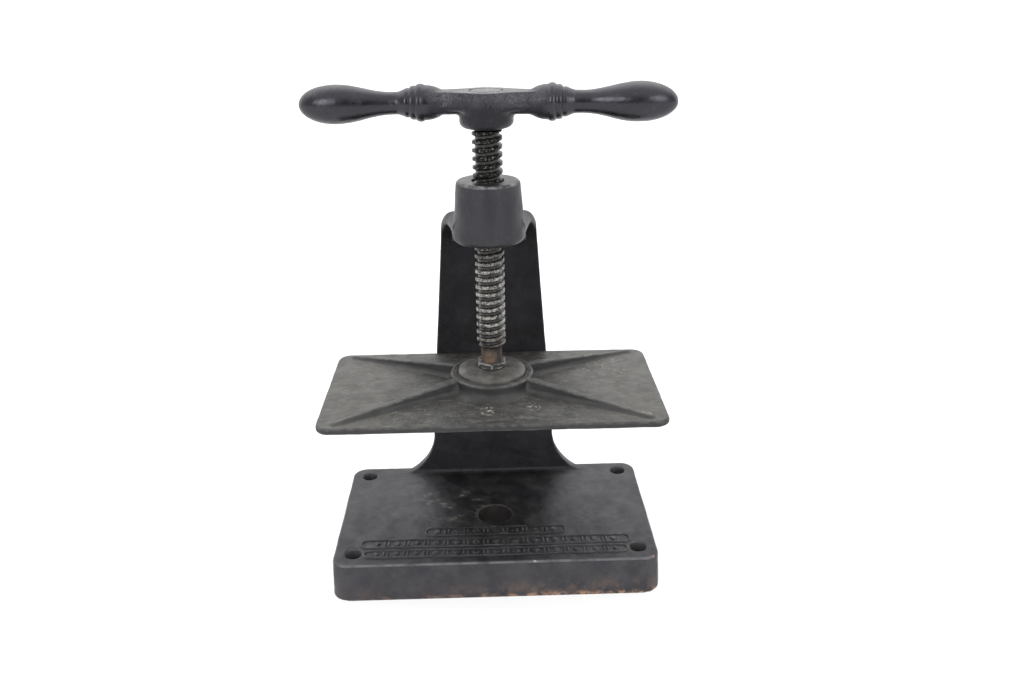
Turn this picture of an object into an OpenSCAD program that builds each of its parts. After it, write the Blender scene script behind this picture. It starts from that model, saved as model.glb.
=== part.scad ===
// Bench screw press: a cast frame, a square-thread screw with a two-grip handle, and a ribbed platen.
// The origin is on the bench, under the screw's axis. +Z is up, and the front faces -Y.

/* [Base] */
// Width of the base's top
base_w = 252; // [236:2:280]
// Front-to-back depth of the base's top
base_d = 150; // [140:2:160]
// Height of the base
base_h = 31; // [26:1:36]
// Outward lean of each side wall, from top to bottom
base_draft = 1.5; // [0.5:0.5:3]
// Corner radius of the base's top
base_corner_r = 12; // [6:1:14]
// Thickness of the base's top and walls
base_t = 9; // [7:1:11]
// Width between the bolt holes
bolt_pitch_x = 222; // [200:2:224]
// Depth between the bolt holes
bolt_pitch_y = 120; // [110:2:122]
// Diameter of the bolt holes
bolt_d = 13; // [9:0.5:14]
// Diameter of the hole under the screw
centre_hole_d = 28; // [20:1:30]

/* [Column and arm] */
// Distance from the screw's axis to the column's face
throat = 71; // [71:1:80]
// Thickness of the column and arm
column_t = 10; // [8:1:12]
// Width of the column at the top
column_top_w = 80; // [74:1:84]
// Width of the column at the base, before its foot flares out
column_foot_w = 110; // [96:1:116]
// Radius of the foot's flare, on each side
flare_r = 46; // [42:1:56]
// Height at which the flare starts, above the base
flare_h = 40; // [30:1:41]
// Height of the arm's underside
arm_z = 266; // [262:1:272]
// Inside radius of the bend from column to arm
bend_r = 25; // [18:1:28]
// Thickness of the rib down the back
rib_t = 12; // [8:1:16]
// Depth of the rib behind the column
rib_d = 26; // [18:1:30]

/* [Screw boss] */
// Height of the boss, up from the arm's underside
boss_h = 45; // [40:1:48]
// Diameter of the boss at the bottom
boss_bottom_d = 54.4; // [52:0.4:60]
// Diameter of the boss at the top
boss_top_d = 46.8; // [44:0.4:50]
// Outside diameter of the threaded sleeve in the boss
nut_d = 31; // [29:0.5:33]

/* [Screw] */
// Thread's outside diameter
screw_d = 22; // [20:0.5:23]
// Thread's root diameter
screw_root_d = 17.6; // [16.6:0.2:18.4]
// Travel per turn
screw_pitch = 6; // [5:0.5:7]
// Threaded length
thread_len = 166; // [150:1:180]
// Diameter of the plain neck above the platen
neck_d = 16; // [14:0.5:16]
// Diameter of the shank inside the handle
shank_d = 16; // [14:0.5:16]

/* [Platen] */
// Space between the base and the platen, as drawn
opening = 112; // [76:1:190]
// Width of the platen
platen_w = 258; // [230:2:270]
// Front-to-back depth of the platen
platen_d = 140; // [124:2:140]
// Thickness of the platen at its edges
platen_edge_t = 5; // [4:0.5:6]
// Rise of the platen's top from its edges to its middle
platen_crown = 2; // [1:0.5:4]
// Outside diameter of the platen's hub
platen_hub_d = 64.4; // [62:0.4:70]
// Height of the platen's hub, up from the underside
platen_hub_h = 18; // [17:0.5:20]
// Diameter of the cap in the hub
cap_d = 53.4; // [50:0.4:55]
// Width across the flats of the cap's hexagon
hex_af = 20.5; // [19:0.5:24]

/* [Handle] */
// Length from end to end
handle_len = 267; // [240:1:290]
// Largest diameter of the grips
grip_d = 27.6; // [24:0.2:30]
// Smallest diameter of the grips
grip_neck_d = 15.8; // [13:0.2:18]
// Diameter of the largest bead
bead_d = 26.2; // [22:0.2:28]
// Height of the bar
bar_h = 16; // [14:1:18]
// Width of the bar
bar_w = 20; // [16:1:22]
// Diameter of the hub
hub_d = 38.4; // [34:0.4:42]
// Length of the hub below the bar
hub_drop = 9.6; // [8:0.4:12]
// Turn of the handle about the screw's axis, as drawn
handle_angle = -5; // [-90:1:90]

/* [Hidden] */
$fn = 64;

iron = [0.13, 0.13, 0.135];
worn_iron = [0.36, 0.35, 0.34];
dark_steel = [0.30, 0.28, 0.26];
bright_steel = [0.55, 0.54, 0.52];
bronze = [0.60, 0.45, 0.25];

fit = 0.02;               // gap round a part that is fixed in its hole
run = 0.06;               // radial gap round a part that turns in its hole
face_gap = 0.05;          // gap between faces that slide on each other
cut = 1;                  // how far a cutter stands past the face that it cuts

base_rear = throat + column_t;
base_front = base_rear - base_d;
bolt_mid_y = (base_front + base_rear) / 2 + 1;
bolt_boss_d = 28;
centre_boss_d = centre_hole_d + 16;
web_t = 8;
foot_block_w = 150;
foot_block_d = 26;

bend_z = arm_z - bend_r;                  // height where the column starts to bend
bend_y = throat - bend_r;                 // where the bend meets the arm
column_slope = (column_foot_w - column_top_w) / 2 / (bend_z - base_h);
boss_top_z = arm_z + boss_h;
nut_len = boss_h - 8;
set_screw_d = 8;
set_screw_len = 10;
set_screw_z = boss_top_z - 21;
set_screw_angle = 40;

platen_z = base_h + opening;
hub_top_z = platen_z + platen_hub_h;
cap_t = 5.5;
cap_z = hub_top_z - cap_t;
cap_dome = 4.5;
hex_h = 4.5;
hex_top_z = hub_top_z + cap_dome + hex_h;
pocket_d = 36;
pocket_floor = 4;
washer_z = platen_z + pocket_floor;
washer_t = 2;
collar_d = 28;
collar_z = washer_z + washer_t + face_gap;
collar_t = cap_z - face_gap - collar_z;
tenon_d = 12;
collar_pin_d = 3;

thread_z = hub_top_z + 21.4;              // lower end of the thread
handle_z = thread_z + thread_len;         // underside of the handle's hub
bar_z = handle_z + hub_drop;
bar_top_z = bar_z + bar_h;
grip_z = bar_z + bar_h / 2;
rivet_d = 24;
rivet_t = 2.4;
handle_pin_d = 6;
handle_pin_z = bar_z + 4;
handle_pin_end = 6;                       // how far the pin's blind hole passes the screw's axis
bar_half = 45;                            // how far the bar reaches from the screw's axis
urn_s = 44;                               // middle of the urn between the bar and the beads
urn_half_w = 18;
bead_s = [46.2, 50.9, 55.5];                // distances of the three beads from the screw's axis
bead_half_w = [2.9, 2.5, 2.6];
bead_r = [bead_d / 2, bead_d / 2 - 1.3, bead_d / 2 - 2.9];
bead_root_r = [bead_d / 2 - 1.9, bead_d / 2 - 2.6, grip_neck_d / 2];

// Points round an arc, from angle a0 to angle a1.
function arc(x, y, r, a0, a1, n = 12) =
    [for (i = [0 : n]) let (a = a0 + (a1 - a0) * i / n) [x + r * cos(a), y + r * sin(a)]];

// A rectangle with rounded corners, between two x and two y values.
module rounded_rect(x0, x1, y0, y1, r) {
    translate([x0 + r, y0]) square([x1 - x0 - 2 * r, y1 - y0]);
    translate([x0, y0 + r]) square([x1 - x0, y1 - y0 - 2 * r]);
    for (x = [x0 + r, x1 - r])
        for (y = [y0 + r, y1 - r])
            translate([x, y]) circle(r);
}

// Extrudes a profile drawn in Y and Z along X, centred on the screw's axis.
module along_x(length) {
    translate([-length / 2, 0, 0])
        rotate([90, 0, 90])
            linear_extrude(length) children();
}

// Extrudes a profile drawn in X and Z along Y, from y0 to y1.
module along_y(y0, y1) {
    translate([0, y1, 0])
        rotate([90, 0, 0])
            linear_extrude(y1 - y0) children();
}

// Places a child at each of the four bolt holes.
module at_bolts() {
    for (x = [-bolt_pitch_x / 2, bolt_pitch_x / 2])
        for (y = [-bolt_pitch_y / 2, bolt_pitch_y / 2])
            translate([x, bolt_mid_y + y, 0]) children();
}

// ---------------------------------------------------------------- frame casting

// The base's outside: flat sides that lean out towards the bench, and cones at the corners.
module base_block() {
    r = base_corner_r;
    x = base_w / 2;
    along_x(base_w - 2 * r)
        polygon([[base_front - base_draft, 0], [base_rear + base_draft, 0],
                 [base_rear, base_h], [base_front, base_h]]);
    along_y(base_front + r, base_rear - r)
        polygon([[-x - base_draft, 0], [x + base_draft, 0], [x, base_h], [-x, base_h]]);
    for (cx = [-x + r, x - r])
        for (cy = [base_front + r, base_rear - r])
            translate([cx, cy, 0]) cylinder(h = base_h, r1 = r + base_draft, r2 = r);
}

module base_hollow() {
    x = base_w / 2 - base_t;
    corner_r = 6;
    translate([0, 0, -cut])
        linear_extrude(base_h - base_t + cut)
            rounded_rect(-x, x, base_front + base_t, base_rear - base_t, corner_r);
}

// Bosses, webs and the block under the column, inside the hollow base.
module base_stiffeners() {
    inside = base_h - base_t + cut;
    at_bolts() cylinder(h = inside, d = bolt_boss_d);
    cylinder(h = inside, d = centre_boss_d);
    translate([-base_w / 2 + base_t - cut, -web_t / 2, base_h / 4])
        cube([base_w - 2 * base_t + 2 * cut, web_t, inside - base_h / 4]);
    translate([-web_t / 2, base_front + base_t - cut, base_h / 4])
        cube([web_t, base_d - 2 * base_t + 2 * cut, inside - base_h / 4]);
    translate([-foot_block_w / 2, base_rear - foot_block_d, 0])
        cube([foot_block_w, foot_block_d - base_t + cut, inside]);
}

// Three blank raised bars along the front of the base's top.
module blank_bars() {
    bar_w = [114, 214, 206];
    bar_mid_y = [-25.5, -41, -55];
    bar_d = [12, 12, 11];
    end_r = 5;
    raised = 0.6;
    for (i = [0 : 2])
        translate([0, bar_mid_y[i], base_h - cut])
            linear_extrude(cut + raised)
                rounded_rect(-bar_w[i] / 2, bar_w[i] / 2, -bar_d[i] / 2, bar_d[i] / 2, end_r);
}

// The column as seen from the front, with a flared foot on each side.
module column_front() {
    lean = atan(column_slope);
    flare_end = 180 + asin(flare_h / flare_r);
    flare_z = base_h + flare_h;
    flare_x = column_top_w / 2 + (bend_z - flare_z) * column_slope + flare_r / cos(lean);
    right = concat([[column_top_w / 2 - (arm_z + column_t - bend_z) * column_slope, arm_z + column_t],
                    [column_top_w / 2, bend_z]],
                   arc(flare_x, flare_z, flare_r, 180 + lean, flare_end, 16),
                   [[flare_x + flare_r * cos(flare_end), base_h - cut]]);
    left = [for (i = [len(right) - 1 : -1 : 0]) [-right[i][0], right[i][1]]];
    polygon(concat(right, left));
}

module column() {
    intersection() {
        along_y(throat, base_rear) column_front();
        translate([-base_w / 2, throat, base_h - cut]) cube([base_w, column_t, bend_z - base_h + cut]);
    }
}

// The arm's outline from above: concave sides that narrow from the column to the boss.
module arm_plan() {
    boss_r = boss_bottom_d / 2;
    rise = column_top_w / 2 - boss_r;
    side_r = (throat * throat + rise * rise) / (2 * rise);
    steps = 14;
    right = [for (i = [0 : steps])
        let (y = base_rear * i / steps) [boss_r + side_r - sqrt(side_r * side_r - y * y), y]];
    left = [for (i = [steps : -1 : 0]) [-right[i][0], right[i][1]]];
    polygon(concat(right, left));
}

// Side view of the bend and the arm.
module arm_side() {
    polygon(concat([[0, arm_z], [bend_y, arm_z]],
                   arc(bend_y, bend_z, bend_r, 90, 0, 16),
                   [[throat, bend_z - cut], [base_rear, bend_z - cut]],
                   arc(bend_y, bend_z, bend_r + column_t, 0, 90, 20),
                   [[0, arm_z + column_t]]));
}

module arm() {
    intersection() {
        along_x(2 * column_foot_w) arm_side();
        translate([0, 0, bend_z - cut]) linear_extrude(2 * boss_h) arm_plan();
        along_y(-cut, base_rear + cut) column_front();
    }
}

// The tapered boss, with rounded rims.
module boss() {
    bottom_r = boss_bottom_d / 2;
    top_r = boss_top_d / 2;
    bottom_rim = 5;
    top_rim = 2.5;
    rotate_extrude()
        polygon(concat([[0, arm_z]],
                       arc(bottom_r - bottom_rim, arm_z + bottom_rim, bottom_rim, -90, 0, 6),
                       arc(top_r - top_rim, boss_top_z - top_rim, top_rim, 0, 90, 5),
                       [[0, boss_top_z]]));
}

// The rib that runs up the back of the column and forward over the arm to the boss.
module rear_rib() {
    back = base_rear + rib_d;
    foot_back = back - 6;
    front = boss_top_d / 2 - 3;              // just inside the boss's wall
    front_top_z = boss_top_z - 8;
    turn_r = bend_r + column_t + rib_d - 8;
    turn_y = back - turn_r;
    turn_z = bend_z - 12;
    along_x(rib_t)
        polygon(concat([[base_rear - cut, 0], [foot_back, 0], [back, base_h * 2]],
                       arc(turn_y, turn_z, turn_r, 0, 62, 16),
                       [[front, front_top_z], [front, arm_z + cut], [bend_y, arm_z + cut]],
                       arc(bend_y, bend_z, bend_r + cut, 90, 0, 16),
                       [[throat + cut, base_h + cut], [throat + cut, base_h - base_t],
                        [base_rear - cut, base_h - base_t]]));
}

module frame_casting() {
    color(iron)
    difference() {
        union() {
            difference() {
                base_block();
                base_hollow();
            }
            base_stiffeners();
            blank_bars();
            column();
            arm();
            boss();
            rear_rib();
        }
        at_bolts() translate([0, 0, -cut]) cylinder(h = base_h + 2 * cut, d = bolt_d);
        translate([0, 0, -cut]) cylinder(h = base_h + 2 * cut, d = centre_hole_d);
        translate([0, 0, arm_z - cut]) cylinder(h = nut_len + cut, d = nut_d);
        translate([0, 0, arm_z]) cylinder(h = boss_h + cut, d = screw_d + 1.4);
        set_screw_place()
            translate([0, 0, -set_screw_d / 2]) cylinder(h = boss_bottom_d, d = set_screw_d + 2 * fit);
    }
}

// Puts a child's +Z axis along the set screw, with its origin at the sleeve's wall.
module set_screw_place() {
    rotate([0, 0, set_screw_angle])
        translate([nut_d / 2, 0, set_screw_z])
            rotate([0, 90, 0]) children();
}

// ---------------------------------------------------------------- parts in the boss

// The thread inside the sleeve is left out: its bore clears the screw's crests.
module screw_nut() {
    color(bronze)
    difference() {
        translate([0, 0, arm_z]) cylinder(h = nut_len - fit, d = nut_d - 2 * fit);
        translate([0, 0, arm_z - cut]) cylinder(h = nut_len + 2 * cut, d = screw_d + 2 * run);
    }
}

module nut_set_screw() {
    slot_w = 1.4;
    slot_d = 2;
    color(dark_steel)
    set_screw_place()
        difference() {
            translate([0, 0, fit]) cylinder(h = set_screw_len, d = set_screw_d);
            translate([-set_screw_d, -slot_w / 2, set_screw_len - slot_d + fit])
                cube([2 * set_screw_d, slot_w, slot_d + cut]);
        }
}

// ---------------------------------------------------------------- platen and its cap

module platen_plate() {
    x = platen_w / 2;
    y = platen_d / 2;
    top = platen_edge_t + platen_crown;
    flat = 0.4;              // share of the half-width where the crown is level
    corner_r = 11;
    intersection() {
        linear_extrude(top) rounded_rect(-x, x, -y, y, corner_r);
        along_x(platen_w)
            polygon([[-y, 0], [y, 0], [y, platen_edge_t], [flat * y, top], [-flat * y, top],
                     [-y, platen_edge_t]]);
        along_y(-y, y)
            polygon([[-x, 0], [x, 0], [x, platen_edge_t], [flat * x, top], [-flat * x, top],
                     [-x, platen_edge_t]]);
    }
}

// One diagonal rib, which falls from the hub's top almost to the plate's near its corner.
module platen_rib() {
    inner = cap_d / 2 + 2;
    outer = norm([platen_w, platen_d]) / 2 - 15;
    angle = atan2(platen_d, platen_w);
    inner_half = 3.5;
    outer_half = 1.5;
    inner_top = platen_hub_h - 0.6;
    outer_top = platen_edge_t + 1.5;
    rotate([0, 0, angle])
        intersection() {
            linear_extrude(platen_hub_h)
                polygon([[inner, -inner_half], [outer, -outer_half], [outer, outer_half],
                         [inner, inner_half]]);
            along_y(-inner_half - cut, inner_half + cut)
                polygon([[inner, cut], [outer, cut], [outer, outer_top],
                         [platen_hub_d / 2 + 2, inner_top], [inner, inner_top]]);
        }
}

module platen_hub() {
    r = platen_hub_d / 2;
    rim = 1.5;
    fillet = 4;
    plate_top = platen_edge_t + platen_crown;
    rotate_extrude()
        polygon(concat([[0, 0], [r + fillet, 0], [r + fillet, plate_top]],
                       arc(r + fillet, plate_top + fillet, fillet, 270, 180, 6),
                       arc(r - rim, platen_hub_h - rim, rim, 0, 90, 5),
                       [[0, platen_hub_h]]));
}

module platen() {
    color(worn_iron)
    difference() {
        translate([0, 0, platen_z]) {
            platen_plate();
            platen_hub();
            platen_rib();
            mirror([1, 0, 0]) platen_rib();
            rotate([0, 0, 180]) platen_rib();
            mirror([0, 1, 0]) platen_rib();
        }
        translate([0, 0, cap_z - fit]) cylinder(h = platen_hub_h, d = cap_d);
        translate([0, 0, washer_z]) cylinder(h = platen_hub_h, d = pocket_d);
    }
}

// The cap: a domed disc held in the hub, with a hexagon round the screw's neck.
module gland_cap() {
    r = cap_d / 2 - fit;
    hex_r = hex_af / 2 / cos(30);
    flat_r = hex_r + 1;
    edge = cap_t + 0.4;
    color(worn_iron)
    translate([0, 0, cap_z])
        difference() {
            union() {
                rotate_extrude()
                    polygon(concat([[0, 0], [r, 0]],
                                   [for (i = [0 : 10])
                                       let (a = 9 * i)
                                           [flat_r + (r - flat_r) * cos(a),
                                            edge + (cap_t + cap_dome - edge) * sin(a)]],
                                   [[0, cap_t + cap_dome]]));
                rotate([0, 0, 30]) cylinder(h = cap_t + cap_dome + hex_h, r = hex_r, $fn = 6);
            }
            translate([0, 0, -cut]) cylinder(h = hex_top_z, d = neck_d + 2 * run);
        }
}

module thrust_washer() {
    color(bright_steel)
    translate([0, 0, washer_z + fit])
        cylinder(h = washer_t - fit, d = pocket_d - 1);
}

// ---------------------------------------------------------------- screw and its foot

// One turn of thread is drawn as a plain ring, so that the screw's outside stays round.
function thread_ring(z, root_r, crest_r) =
    [[root_r, z], [crest_r, z + 0.08 * screw_pitch], [crest_r, z + 0.5 * screw_pitch],
     [root_r, z + 0.58 * screw_pitch]];

module press_screw() {
    tenon_r = tenon_d / 2 - fit;
    neck_r = neck_d / 2;
    root_r = screw_root_d / 2;
    crest_r = screw_d / 2;
    shank_r = shank_d / 2 - fit;
    rivet_z = bar_top_z - rivet_t;
    rivet_r = rivet_d / 2 - fit;
    rings = floor((thread_len - 3) / screw_pitch);
    thread = [for (i = [0 : rings - 1])
        each thread_ring(thread_z + 2 + i * screw_pitch, root_r, crest_r)];
    color(dark_steel)
    difference() {
        rotate_extrude()
            polygon(concat([[0, collar_z], [tenon_r, collar_z], [tenon_r, collar_z + collar_t],
                            [neck_r, collar_z + collar_t], [neck_r, thread_z],
                            [root_r, thread_z]],
                           thread,
                           [[root_r, handle_z - fit], [shank_r, handle_z - fit], [shank_r, rivet_z + fit],
                            [rivet_r, rivet_z + fit], [rivet_r, bar_top_z - 1],
                            [rivet_r - 1.5, bar_top_z], [0, bar_top_z]]));
        handle_pin_hole();
        collar_pin_place() cylinder(h = collar_d, d = collar_pin_d + 2 * fit, center = true);
    }
}

module collar_pin_place() {
    translate([0, 0, collar_z + collar_t / 2])
        rotate([0, 90, 0]) children();
}

module thrust_collar() {
    color(bright_steel)
    difference() {
        translate([0, 0, collar_z]) cylinder(h = collar_t, d = collar_d);
        translate([0, 0, collar_z - cut]) cylinder(h = collar_t + 2 * cut, d = tenon_d);
        collar_pin_place() cylinder(h = 2 * collar_d, d = collar_pin_d + 2 * fit, center = true);
    }
}

module collar_pin() {
    color(dark_steel)
    collar_pin_place() cylinder(h = collar_d - 1, d = collar_pin_d, center = true);
}

// ---------------------------------------------------------------- handle

// Radius of bead k at a distance s from the screw's axis, or 0 beside it.
function bead_radius(s, k) =
    let (off = (s - bead_s[k]) / bead_half_w[k])
        abs(off) >= 1 ? 0 : bead_root_r[k] + (bead_r[k] - bead_root_r[k]) * sqrt(1 - off * off);

// Radius of the urn, which ends inside the first bead.
function urn_radius(s) =
    let (off = (s - urn_s) / urn_half_w)
        s > bead_s[0] ? 0 : (bead_d / 2 - 1) * sqrt(max(0, 1 - off * off));

// Radius of the grip at a distance s from the screw's axis: urn, beads, neck, swelling and round end.
function grip_radius(s) =
    let (end = handle_len / 2,
         widest = 0.8 * end,
         neck = 0.5 * end,
         neck_r = grip_neck_d / 2,
         top_r = grip_d / 2)
    s > widest ? top_r * sqrt(max(0, 1 - pow((s - widest) / (end - widest), 2)))
    : s > neck ? neck_r + (top_r - neck_r) * (1 - cos(180 * (s - neck) / (widest - neck))) / 2
    : max(s > bead_s[0] ? neck_r : 0,
          urn_radius(s),
          bead_radius(s, 0),
          bead_radius(s, 1),
          bead_radius(s, 2));

module grip() {
    end = handle_len / 2;
    inner = urn_s - urn_half_w + 2;
    steps = 88;
    rotate([0, 90, 0])
        rotate_extrude()
            polygon(concat([[0, inner]],
                           [for (i = [0 : steps])
                               let (s = inner + (end - inner) * i / steps) [grip_radius(s), s]],
                           [[0, end]]));
}

// The bar between the grips: flat on top and rounded below.
module bar() {
    along_x(2 * bar_half)
        intersection() {
            translate([-bar_w / 2, -bar_h / 2]) square([bar_w, bar_h]);
            union() {
                circle(d = bar_w);
                translate([-bar_w / 2, 0]) square([bar_w, bar_h / 2]);
            }
        }
}

// The bar's swelling round the hub, seen from above.
module hub_swell() {
    reach = 0.75 * bar_half;
    steps = 20;
    front = [for (i = [0 : steps])
        let (x = reach * (2 * i / steps - 1))
            [x, bar_w / 2 + (hub_d - bar_w) / 2 * (1 + cos(180 * x / reach)) / 2]];
    back = [for (i = [steps : -1 : 0]) [front[i][0], -front[i][1]]];
    polygon(concat(front, back));
}

// Puts a child's +Z axis along the handle's pin, with its origin at the blind end of the hole.
module handle_pin_place() {
    rotate([0, 0, handle_angle])
        translate([0, -handle_pin_end, handle_pin_z])
            rotate([-90, 0, 0]) children();
}

module handle_pin_hole() {
    handle_pin_place() cylinder(h = handle_pin_end + hub_d, d = handle_pin_d + 2 * fit);
}

module handle() {
    swell_z = bar_z + 3;
    hub_rim = 5;
    color(iron)
    difference() {
        rotate([0, 0, handle_angle]) {
            translate([0, 0, grip_z]) {
                grip();
                rotate([0, 0, 180]) grip();
                bar();
            }
            translate([0, 0, swell_z]) linear_extrude(bar_top_z - swell_z) hub_swell();
            rotate_extrude()
                polygon(concat([[0, handle_z]],
                               arc(hub_d / 2 - hub_rim, handle_z + hub_rim, hub_rim, -90, 0, 6),
                               [[hub_d / 2, bar_top_z], [0, bar_top_z]]));
        }
        translate([0, 0, handle_z - cut]) cylinder(h = bar_h + hub_drop + 2 * cut, d = shank_d);
        translate([0, 0, bar_top_z - rivet_t]) cylinder(h = rivet_t + cut, d = rivet_d);
        handle_pin_hole();
    }
}

// The pin is driven in from the back, and stays just below the hub's wall.
module handle_pin() {
    pin_len = handle_pin_end + hub_d / 2 - 0.5;
    color(dark_steel)
    handle_pin_place()
        translate([0, 0, fit]) cylinder(h = pin_len - fit, d = handle_pin_d);
}

frame_casting();
screw_nut();
nut_set_screw();
platen();
gland_cap();
thrust_washer();
press_screw();
thrust_collar();
collar_pin();
handle();
handle_pin();
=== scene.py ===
# Looks for the bench screw press, built round the imported model.
#
# The castings are distance fields, in millimetres, so that every fillet and rounded edge is part of
# the shape. Each field is meshed, its points are pulled exactly onto it, and two masks are stored on
# the points for the materials: "edge" on sharp corners, for wear and painted highlights, and
# "hollow" in inside corners, for dirt and painted shade.

import math

import bmesh
import bpy
import numpy as np
import openvdb
from mathutils import Matrix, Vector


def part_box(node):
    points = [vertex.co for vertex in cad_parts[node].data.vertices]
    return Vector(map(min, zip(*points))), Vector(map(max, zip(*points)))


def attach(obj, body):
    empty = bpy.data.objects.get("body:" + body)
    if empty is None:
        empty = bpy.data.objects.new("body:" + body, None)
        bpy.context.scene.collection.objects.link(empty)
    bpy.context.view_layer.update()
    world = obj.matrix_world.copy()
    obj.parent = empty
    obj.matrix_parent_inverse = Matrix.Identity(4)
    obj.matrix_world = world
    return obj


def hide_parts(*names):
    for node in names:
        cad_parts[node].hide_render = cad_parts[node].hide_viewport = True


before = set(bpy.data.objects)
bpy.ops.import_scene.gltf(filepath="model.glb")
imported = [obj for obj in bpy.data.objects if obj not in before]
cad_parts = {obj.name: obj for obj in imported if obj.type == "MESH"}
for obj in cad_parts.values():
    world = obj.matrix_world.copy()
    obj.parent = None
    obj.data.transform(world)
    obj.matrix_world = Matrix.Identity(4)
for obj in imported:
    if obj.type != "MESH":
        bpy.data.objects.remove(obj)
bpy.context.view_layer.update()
MM = 0.001


def box_mm(node):
    """The lowest and highest corners of a CAD node, in millimetres."""
    low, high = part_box(node)
    return np.array(low) / MM, np.array(high) / MM


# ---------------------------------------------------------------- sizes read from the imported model

CAST_LOW, CAST_HIGH = box_mm("frame_casting")
PLATE_LOW, PLATE_HIGH = box_mm("platen")
CAP_LOW, CAP_HIGH = box_mm("gland_cap")
SCREW_LOW, SCREW_HIGH = box_mm("press_screw")
HANDLE_LOW, HANDLE_HIGH = box_mm("handle")
NUT_HIGH = box_mm("screw_nut")[1]

# ---------------------------------------------------------------- distance-field tools

# A distance so large that it never counts.
FAR = 1e6


def both(a, b, r):
    """Where two shapes overlap, with their shared edge rounded to radius r."""
    rounded = np.hypot(np.maximum(a + r, 0), np.maximum(b + r, 0))
    return np.minimum(np.maximum(a, b), -r) + rounded


def join(a, b, r):
    """Two shapes together, with a fillet of radius r where they meet."""
    fillet = np.hypot(np.maximum(r - a, 0), np.maximum(r - b, 0))
    return np.maximum(np.minimum(a, b), r) - fillet


def round_rect(x, y, half_x, half_y, r):
    """Distance to a rectangle about the origin, with corners of radius r."""
    qx = np.abs(x) - half_x + r
    qy = np.abs(y) - half_y + r
    outside = np.hypot(np.maximum(qx, 0), np.maximum(qy, 0))
    return outside + np.minimum(np.maximum(qx, qy), 0) - r


def ramp(value, start, end):
    """0 before start, 1 after end, and smooth between them."""
    t = np.clip((value - start) / (end - start), 0, 1)
    return t * t * (3 - 2 * t)


def polygon(x, y, points):
    """Signed distance to a closed polygon."""
    points = np.asarray(points, float)
    best = np.full(x.shape, FAR**2)
    inside = np.ones(x.shape)
    for (x0, y0), (x1, y1) in zip(points, np.roll(points, -1, axis=0)):
        ex, ey = x1 - x0, y1 - y0
        wx, wy = x - x0, y - y0
        t = np.clip((wx * ex + wy * ey) / max(ex * ex + ey * ey, 1e-9), 0, 1)
        best = np.minimum(best, (wx - ex * t) ** 2 + (wy - ey * t) ** 2)
        above, below = y >= y0, y < y1
        left = ex * wy > ey * wx
        crossing = (above & below & left) | (~above & ~below & ~left)
        inside = np.where(crossing, -inside, inside)
    return inside * np.sqrt(best)


def arc(cx, cy, r, start, end, steps=16):
    """Points round an arc, between two angles in degrees."""
    angles = np.radians(np.linspace(start, end, steps))
    return [(cx + r * math.cos(a), cy + r * math.sin(a)) for a in angles]


class Waves:
    """Low, uneven ripples of the kind that a sand mould leaves: the sum of a few plane waves."""

    def __init__(self, seed, layers):
        rng = np.random.default_rng(seed)
        self.waves = []
        for length, height, count in layers:
            for _ in range(count):
                direction = rng.normal(size=3)
                direction *= 2 * math.pi / (length * rng.uniform(0.7, 1.4) * np.linalg.norm(direction))
                size = height * math.sqrt(2 / count)
                self.waves.append((direction, rng.uniform(0, 2 * math.pi), size))

    def __call__(self, x, y, z):
        total = np.zeros(x.shape)
        for direction, phase, size in self.waves:
            total += size * np.sin(direction[0] * x + direction[1] * y + direction[2] * z + phase)
        return total


def slope(field, p, reach):
    """The field's gradient at points p, by differences over a distance of reach."""
    out = np.empty_like(p)
    for k in range(3):
        step = np.zeros(3)
        step[k] = reach
        out[:, k] = field(*(p + step).T) - field(*(p - step).T)
    return out / (2 * reach)


def unit(v):
    """Rows of v scaled to length 1."""
    return v / np.maximum(np.linalg.norm(v, axis=1, keepdims=True), 1e-9)


BLOCK = 8
BLOCK_MARGIN = 1.35
BLOCKS_AT_ONCE = 1500
PULL_STEPS = 3
BEND_REACH = 1.4
AIR_REACHES = ((2.5, 0.45), (6.0, 0.33), (14.0, 0.22))


def sample_blocks(field, low, counts, step):
    """The field on a grid, worked out only in the blocks that the surface may pass through."""
    middle = [low[k] + (np.arange(counts[k]) * BLOCK + (BLOCK - 1) / 2) * step for k in range(3)]
    far = np.stack(np.meshgrid(*middle, indexing="ij"), axis=-1)
    centre = field(*far.reshape(-1, 3).T).reshape(counts)
    reach = 0.5 * BLOCK * step * math.sqrt(3) * BLOCK_MARGIN
    values = np.sign(centre) * reach
    for axis in range(3):
        values = np.repeat(values, BLOCK, axis)
    values = values.astype(np.float32)
    local = np.stack(np.meshgrid(*[np.arange(BLOCK)] * 3, indexing="ij"), axis=-1).reshape(-1, 3)
    near = np.argwhere(np.abs(centre) < reach)
    for batch in np.array_split(near, max(1, len(near) // BLOCKS_AT_ONCE)):
        index = (batch[:, None, :] * BLOCK + local[None, :, :]).reshape(-1, 3)
        values[index[:, 0], index[:, 1], index[:, 2]] = field(*(low + index * step).T)
    return values


def corner_masks(mesh, field, p):
    """Stores how sharp the field's corners are at points p, and how closed in its hollows are."""
    bend = np.zeros(len(p))
    for k in range(3):
        away = np.zeros(3)
        away[k] = BEND_REACH
        bend += field(*(p + away).T) + field(*(p - away).T) - 2 * field(*p.T)
    bend /= BEND_REACH
    outward = unit(slope(field, p, 0.3))
    open_air = np.zeros(len(p))
    for distance, share in AIR_REACHES:
        clear = field(*(p + outward * distance).T) / distance
        open_air += share * np.clip(clear, 0, 1)
    store(mesh, "edge", np.clip(bend, 0, 2))
    store(mesh, "hollow", np.clip(1 - open_air, 0, 1))


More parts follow.
